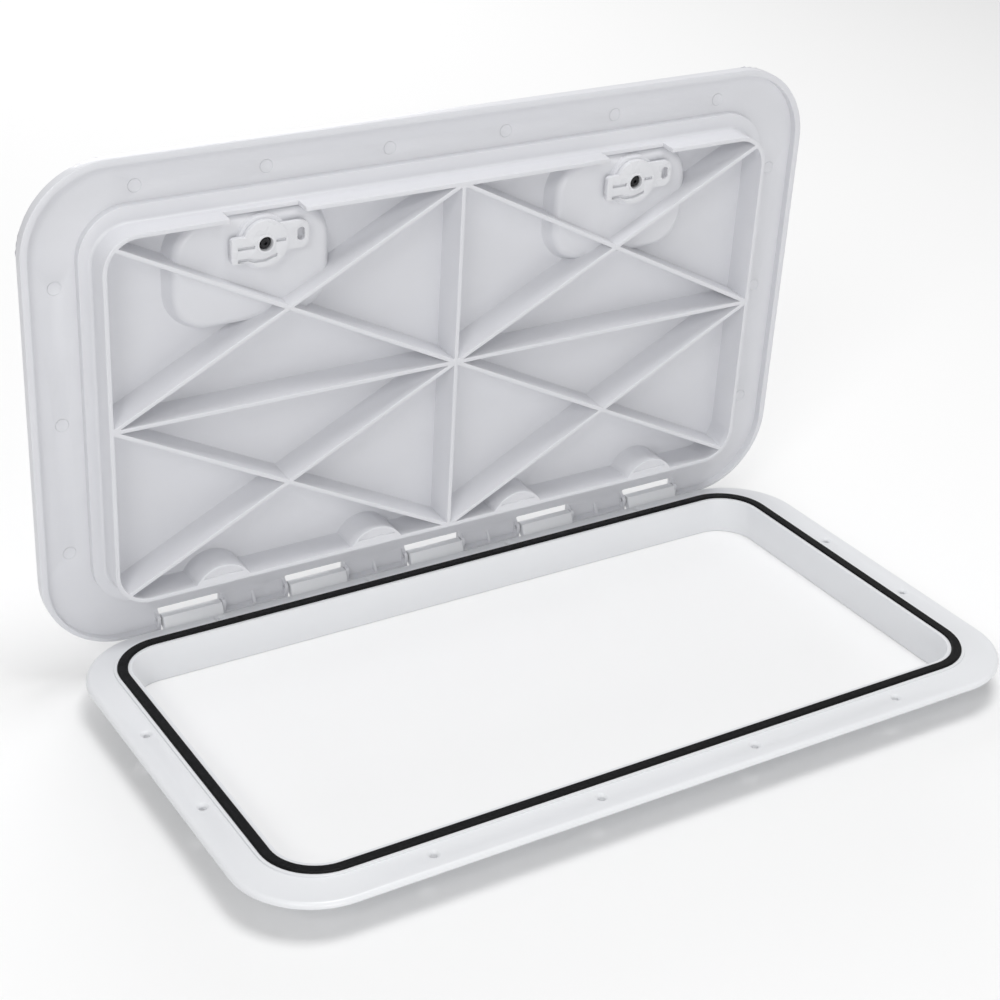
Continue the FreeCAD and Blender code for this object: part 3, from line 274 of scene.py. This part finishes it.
def moulded_plastic(name, pale, grey, rough_low, rough_high, grain):
    """Satin moulded plastic between two tints and two values of roughness."""
    finish, tree, shader, place = start_finish(name)
    flow = noise(tree, place, FLOW_SCALE, 5, FLOW_STRETCH)
    cloud = noise(tree, place, CLOUD_SCALE, 2)
    tint = mix_colours(tree, spread(tree, flow, 0, 1), grey, pale)
    tree.links.new(tint, shader.inputs["Base Color"])
    tree.links.new(spread(tree, cloud, rough_low, rough_high), shader.inputs["Roughness"])
    sunk = bump(tree, noise(tree, place, SINK_SCALE, 1), SINK_STRENGTH, SINK_DEPTH)
    fine = bump(tree, noise(tree, place, GRAIN_SCALE, 2), grain, GRAIN_DEPTH, sunk)
    tree.links.new(fine, shader.inputs["Normal"])
    shader.inputs["Specular IOR Level"].default_value = PLASTIC_SPECULAR
    shader.inputs["IOR"].default_value = PLASTIC_IOR
    return finish


frame_plastic = moulded_plastic(
    "frame_plastic_finish", pale=(0.79, 0.80, 0.82), grey=(0.782, 0.792, 0.812),
    rough_low=0.28, rough_high=0.33, grain=0.12)
# The lid's darker tints are painted shade: the lid is the frame's plastic, darkened for the
# standing lid.
lid_plastic = moulded_plastic(
    "lid_plastic_painted_shade_finish", pale=(0.70, 0.705, 0.735), grey=(0.688, 0.693, 0.723),
    rough_low=0.30, rough_high=0.36, grain=0.25)
cam_plastic = moulded_plastic(
    "cam_plastic_finish", pale=(0.72, 0.725, 0.75), grey=(0.69, 0.695, 0.72),
    rough_low=0.24, rough_high=0.34, grain=0.2)
handle_plastic = moulded_plastic(
    "handle_plastic_finish", pale=(0.76, 0.765, 0.785), grey=(0.73, 0.735, 0.755),
    rough_low=0.22, rough_high=0.32, grain=0.15)

# %% [markdown]
# ### Rubber, nylon and steel
# The seal is black extruded rubber: almost matt, with fine dust. The washers
# are natural nylon, slightly yellow and waxy. The pins are drawn stainless steel. The cam
# screws are given a near-black colour as painted shade, so the open bores look dark. Drawing
# and turning streak the gloss along one direction, which stretched noise gives.

# %% Rubber
DUST_SCALE = 900
RUBBER_BLACK = (0.003, 0.003, 0.0035)
DUSTY_BLACK = (0.012, 0.012, 0.013)
RUBBER_SPECULAR = 0.15


def rubber(name):
    """Black rubber with a little dust on it."""
    finish, tree, shader, place = start_finish(name)
    dust = spread(tree, noise(tree, place, DUST_SCALE, 4), 0, 1, 0.5, 0.75)
    tree.links.new(mix_colours(tree, dust, RUBBER_BLACK, DUSTY_BLACK),
                   shader.inputs["Base Color"])
    tree.links.new(spread(tree, noise(tree, place, 240, 3), 0.38, 0.55),
                   shader.inputs["Roughness"])
    tree.links.new(bump(tree, noise(tree, place, 1800, 3), 0.35, 0.00008),
                   shader.inputs["Normal"])
    shader.inputs["Specular IOR Level"].default_value = RUBBER_SPECULAR
    return finish


seal_rubber = rubber("seal_rubber_finish")

# %% Nylon
NYLON_DARK = (0.72, 0.70, 0.64)
NYLON_PALE = (0.80, 0.79, 0.74)


def nylon(name):
    """Natural nylon, a little yellow."""
    finish, tree, shader, place = start_finish(name)
    tree.links.new(mix_colours(tree, noise(tree, place, 400, 3), NYLON_DARK, NYLON_PALE),
                   shader.inputs["Base Color"])
    tree.links.new(spread(tree, noise(tree, place, 700, 2), 0.3, 0.5),
                   shader.inputs["Roughness"])
    tree.links.new(bump(tree, noise(tree, place, 2500, 2), 0.3, 0.00004),
                   shader.inputs["Normal"])
    return finish


washer_nylon = nylon("washer_nylon_finish")

# %% Steel
def steel(name, stretch, dark, pale):
    """Steel with streaks along the axis that has the small stretch."""
    finish, tree, shader, place = start_finish(name)
    streaks = noise(tree, place, 700, 3, stretch)
    tree.links.new(mix_colours(tree, streaks, dark, pale),
                   shader.inputs["Base Color"])
    tree.links.new(spread(tree, streaks, 0.2, 0.38), shader.inputs["Roughness"])
    tree.links.new(bump(tree, streaks, 0.25, 0.00003), shader.inputs["Normal"])
    shader.inputs["Metallic"].default_value = 1.0
    return finish


pin_steel = steel("pin_steel_finish", stretch=(0.05, 1, 1),
                  dark=(0.52, 0.52, 0.53), pale=(0.66, 0.66, 0.67))
# The cam screws' near-black colour is painted shade for the deep, dark bores.
screw_steel = steel("screw_steel_painted_shade_finish", stretch=(1, 0.08, 1),
                    dark=(0.02, 0.02, 0.021), pale=(0.055, 0.055, 0.058))

# %% [markdown]
# ### Give the CAD pieces their finish
# The CAD's own objects keep their shape here. Only their material slots change. The record
# names a slot for each kind of finish, so the pieces are found by the slot's name.

# %% Assign
FINISHES = {
    "frame_plastic": frame_plastic, "lid_plastic": lid_plastic, "cam_plastic": cam_plastic,
    "handle_plastic": handle_plastic, "washer_plastic": washer_nylon,
    "seal_rubber": seal_rubber, "pin_steel": pin_steel, "screw_steel": screw_steel,
}
for piece in frame["nodes"].values():
    for slot in piece.material_slots:
        slot.material = FINISHES[slot.material.name.split(".")[0]]
print("finishes:", sorted(FINISHES))

# %% [markdown]
# ## Soften the moulded edges
# A mould never leaves a knife edge, and the bright line along each rib is its rounded edge
# catching the lamp. The CAD mesh is loose triangles, so a copy is welded first, and a narrow
# bevel is cut along the sharp edges only. The copy then stands for the CAD piece, and has the
# same size and place.

# %% Edge rounding
MERGE_GAP = 0.000002
SHARP_ANGLE = math.radians(32)
BODY_ROUNDING = 0.00035
CAM_ROUNDING = 0.0003
HANDLE_ROUNDING = 0.0006


def soft_copy(node_name, piece_name, body, width, steps):
    """A welded copy of a CAD piece with rounded sharp edges."""
    source = frame["nodes"][node_name]
    mesh = source.data.copy()
    piece = bpy.data.objects.new(piece_name, mesh)
    mesh.name = piece_name
    bpy.context.scene.collection.objects.link(piece)
    select_only(piece)
    bpy.ops.object.mode_set(mode="EDIT")
    bpy.ops.mesh.select_all(action="SELECT")
    bpy.ops.mesh.remove_doubles(threshold=MERGE_GAP)
    bpy.ops.object.mode_set(mode="OBJECT")
    if mesh.has_custom_normals:
        bpy.ops.mesh.customdata_custom_splitnormals_clear()
    rounding = piece.modifiers.new("rounding", "BEVEL")
    rounding.width = width
    rounding.segments = steps
    rounding.limit_method = "ANGLE"
    rounding.angle_limit = SHARP_ANGLE
    rounding.use_clamp_overlap = False
    rounding.miter_outer = "MITER_ARC"
    rounding.loop_slide = False
    bpy.ops.object.modifier_apply(modifier=rounding.name)
    bpy.ops.object.shade_smooth_by_angle(angle=SHARP_ANGLE)
    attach(piece, body)
    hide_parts(node_name)
    print(piece_name, "faces:", len(piece.data.polygons))


soft_copy("lid", "lid_moulding", "lid", BODY_ROUNDING, 2)
soft_copy("frame", "frame_moulding", "frame", BODY_ROUNDING, 2)
for side in SIDES:
    soft_copy("cam_" + side, "cam_moulding_" + side, "latch_" + side,
              CAM_ROUNDING, 2)
    soft_copy("handle_" + side, "handle_moulding_" + side, "latch_" + side,
              HANDLE_ROUNDING, 3)

# %% [markdown]
# ## The outside of the lid: a non-slip panel
# Nobody should slip on a hatch, so the outer face of such a lid carries a raised panel covered
# with small studs, with openings round the two latch dishes. The panel could be a pattern in the
# finish, but a stud that a shoe can feel is a shape, so it is modelled. It is drawn flat, as on
# the shut lid measured from the hinge axis, and one matrix then stands it up with the lid.

# %% Where the lid stands
LID_ANGLE = math.radians(87.0)
HINGE_AXIS = Vector(frame["joints"][0]["pos_m"])
PLATE_TOP = 0.0068
STAND_UP = Matrix.Translation(HINGE_AXIS) @ Matrix.Rotation(-LID_ANGLE, 4, "X")


def finish_piece(piece, name, matrix, body, finish):
    """Puts a piece's place into its mesh, stands it up with the lid and dresses it."""
    piece.name = name
    piece.data.name = name
    piece.data.transform(matrix @ piece.matrix_world)
    piece.matrix_world = Matrix.Identity(4)
    piece.data.materials.clear()
    piece.data.materials.append(finish)
    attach(piece, body)
    print(name, "faces:", len(piece.data.polygons))


def in_edit_mode(piece):
    """Selects one piece and opens it for editing with all of it selected."""
    select_only(piece)
    bpy.ops.object.mode_set(mode="EDIT")
    bpy.ops.mesh.select_all(action="SELECT")


# %% A flat plate with round corners
PLATE_STEPS = 10


def round_plate(left, right, front, rear, low, high, corner):
    """A plate between two heights: a plane, its corners rounded, then extruded."""
    deselect_all()
    bpy.ops.mesh.primitive_plane_add(size=1)
    plate = bpy.context.active_object
    plate.data.transform(Matrix.Translation(((left + right) / 2, (front + rear) / 2, low))
                         @ Matrix.Diagonal((right - left, rear - front, 1, 1)))
    in_edit_mode(plate)
    bpy.ops.mesh.bevel(offset=corner, segments=PLATE_STEPS, affect="VERTICES",
                       offset_type="OFFSET")
    bpy.ops.mesh.select_all(action="SELECT")
    bpy.ops.mesh.extrude_region_move(TRANSFORM_OT_translate={"value": (0, 0, high - low)})
    bpy.ops.mesh.select_all(action="SELECT")
    bpy.ops.mesh.normals_make_consistent(inside=False)
    bpy.ops.object.mode_set(mode="OBJECT")
    return plate


def apply_modifier(piece, modifier):
    """Makes a modifier's result the piece's own mesh."""
    select_only(piece)
    bpy.ops.object.modifier_apply(modifier=modifier.name)


# %% Panel
PANEL_SIDE = 0.277
PANEL_FRONT = -0.3195
PANEL_REAR = -0.0165
PANEL_CORNER = 0.034
PANEL_SUNK = 0.0002
PANEL_RISE = 0.0004
PANEL_ROUNDING = 0.00025
CUT_DEPTH = 0.01
DISH_LEFT = 0.0715
DISH_RIGHT = 0.0595
DISH_FRONT = -0.3065
DISH_REAR = -0.2105
DISH_CORNER = 0.032
LATCH_X = {"left": -0.1445, "right": 0.1445}
panel = round_plate(-PANEL_SIDE, PANEL_SIDE, PANEL_FRONT, PANEL_REAR,
                    PLATE_TOP - PANEL_SUNK, PLATE_TOP + PANEL_RISE, PANEL_CORNER)
for side in SIDES:
    cutter = round_plate(LATCH_X[side] - DISH_LEFT, LATCH_X[side] + DISH_RIGHT, DISH_FRONT,
                         DISH_REAR, PLATE_TOP - CUT_DEPTH, PLATE_TOP + CUT_DEPTH, DISH_CORNER)
    cut = panel.modifiers.new("dish_opening", "BOOLEAN")
    cut.operation = "DIFFERENCE"
    cut.solver = "EXACT"
    cut.object = cutter
    apply_modifier(panel, cut)
    bpy.data.objects.remove(cutter)
soften = panel.modifiers.new("soften", "BEVEL")
soften.width = PANEL_ROUNDING
soften.segments = 2
soften.angle_limit = SHARP_ANGLE
apply_modifier(panel, soften)
bpy.ops.object.shade_smooth_by_angle(angle=SHARP_ANGLE)
finish_piece(panel, "tread_panel", STAND_UP, "lid", lid_plastic)

# %% [markdown]
# ### The studs
# Each stud is a low lozenge. One is modelled: an eight-sided disc, stretched and extruded, with
# its top made smaller so that its sides slope. Two array modifiers copy it, and the copies that
# would stand on the dishes or past the panel's border are deleted. A second field, turned the
# other way and moved by half a step, stands between the first one's studs.

# %% Studs
STUD_LONG = 0.0032
STUD_WIDE = 0.0014
STUD_RISE = 0.0005
STUD_TOP = (0.72, 0.55, 1)
STUD_STEP = 0.0088
STUD_MARGIN = 0.005


def stud_field(turn, shift):
    """A field of equal studs over the whole panel."""
    deselect_all()
    bpy.ops.mesh.primitive_circle_add(vertices=8, radius=1, fill_type="NGON")
    stud = bpy.context.active_object
    stud.data.transform(Matrix.Diagonal((STUD_LONG, STUD_WIDE, 1, 1)))
    in_edit_mode(stud)
    bpy.ops.mesh.extrude_region_move(TRANSFORM_OT_translate={"value": (0, 0, STUD_RISE)})
    bpy.ops.transform.resize(value=STUD_TOP)
    bpy.ops.mesh.select_all(action="SELECT")
    bpy.ops.mesh.normals_make_consistent(inside=False)
    bpy.ops.object.mode_set(mode="OBJECT")
    first = Matrix.Translation((-PANEL_SIDE + shift, PANEL_FRONT + shift,
                                PLATE_TOP + PANEL_RISE - PANEL_SUNK / 2))
    stud.data.transform(first @ Matrix.Rotation(turn, 4, "Z"))
    for axis, span in ((0, 2 * PANEL_SIDE), (1, PANEL_REAR - PANEL_FRONT)):
        copies = stud.modifiers.new("rows", "ARRAY")
        copies.count = int(span / STUD_STEP)
        copies.use_relative_offset = False
        copies.use_constant_offset = True
        copies.constant_offset_displace = [STUD_STEP if index == axis else 0
                                           for index in range(3)]
        apply_modifier(stud, copies)
    return stud


def on_panel(x, y):
    """True where a stud has room: inside the panel's border and clear of both dishes."""
    margin = STUD_MARGIN
    reach_x = PANEL_SIDE - margin - abs(x)
    reach_y = min(y - PANEL_FRONT, PANEL_REAR - y) - margin
    in_corner = PANEL_CORNER - margin
    if reach_x < 0 or reach_y < 0:
        return False
    if reach_x < in_corner and reach_y < in_corner:
        if math.hypot(in_corner - reach_x, in_corner - reach_y) > in_corner:
            return False
    for centre in LATCH_X.values():
        near_x = centre - DISH_LEFT - margin < x < centre + DISH_RIGHT + margin
        if near_x and DISH_FRONT - margin < y < DISH_REAR + margin:
            return False
    return True


studs = stud_field(math.radians(45), STUD_STEP / 2)
others = stud_field(math.radians(-45), STUD_STEP)
deselect_all()
studs.select_set(True)
others.select_set(True)
bpy.context.view_layer.objects.active = studs
bpy.ops.object.join()

# %% Delete the studs that have no room
editing = bmesh.new()
editing.from_mesh(studs.data)
seen = set()
doomed = []
for corner in editing.verts:
    if corner in seen:
        continue
    island = [corner]
    seen.add(corner)
    for member in island:
        for edge in member.link_edges:
            other = edge.other_vert(member)
            if other not in seen:
                seen.add(other)
                island.append(other)
    middle = sum((member.co for member in island), Vector()) / len(island)
    if not on_panel(middle.x, middle.y):
        doomed += island
bmesh.ops.delete(editing, geom=doomed, context="VERTS")
editing.to_mesh(studs.data)
editing.free()
finish_piece(studs, "tread_studs", STAND_UP, "lid", lid_plastic)

# %% [markdown]
# ## Ridges on the latch grips
# Wet fingers need something to hold, so the grip of each latch handle has small ridges across
# its top. One ridge is a cylinder flattened along its height, and an array makes the row. The
# handles point along -X from the latch axis while the lid is open.

# %% Grip ridges
LATCH_Y = -0.2777
RIDGE_LENGTH = 0.0062
RIDGE_RADIUS = 0.0007
RIDGE_STEP = 0.0032
RIDGE_COUNT = 10
RIDGE_FLATTENING = 0.55
RIDGE_EDGE = 0.35
FIRST_RIDGE = 0.0385
GRIP_TOP = PLATE_TOP - 0.001
for side in SIDES:
    deselect_all()
    bpy.ops.mesh.primitive_cylinder_add(vertices=16, radius=RIDGE_RADIUS, depth=RIDGE_LENGTH)
    ridges = bpy.context.active_object
    in_edit_mode(ridges)
    bpy.ops.mesh.bevel(offset=RIDGE_RADIUS * RIDGE_EDGE, segments=2, affect="EDGES")
    bpy.ops.object.mode_set(mode="OBJECT")
    row_start = Vector((LATCH_X[side] - FIRST_RIDGE, LATCH_Y, GRIP_TOP))
    ridges.data.transform(Matrix.Translation(row_start)
                          @ Matrix.Diagonal((1, 1, RIDGE_FLATTENING, 1))
                          @ Matrix.Rotation(math.pi / 2, 4, "X"))
    copies = ridges.modifiers.new("row", "ARRAY")
    copies.count = RIDGE_COUNT
    copies.use_relative_offset = False
    copies.use_constant_offset = True
    copies.constant_offset_displace = (RIDGE_STEP, 0, 0)
    apply_modifier(ridges, copies)
    bpy.ops.object.shade_smooth_by_angle(angle=SHARP_ANGLE)
    finish_piece(ridges, "grip_ridges_" + side, STAND_UP, "latch_" + side,
                 handle_plastic)
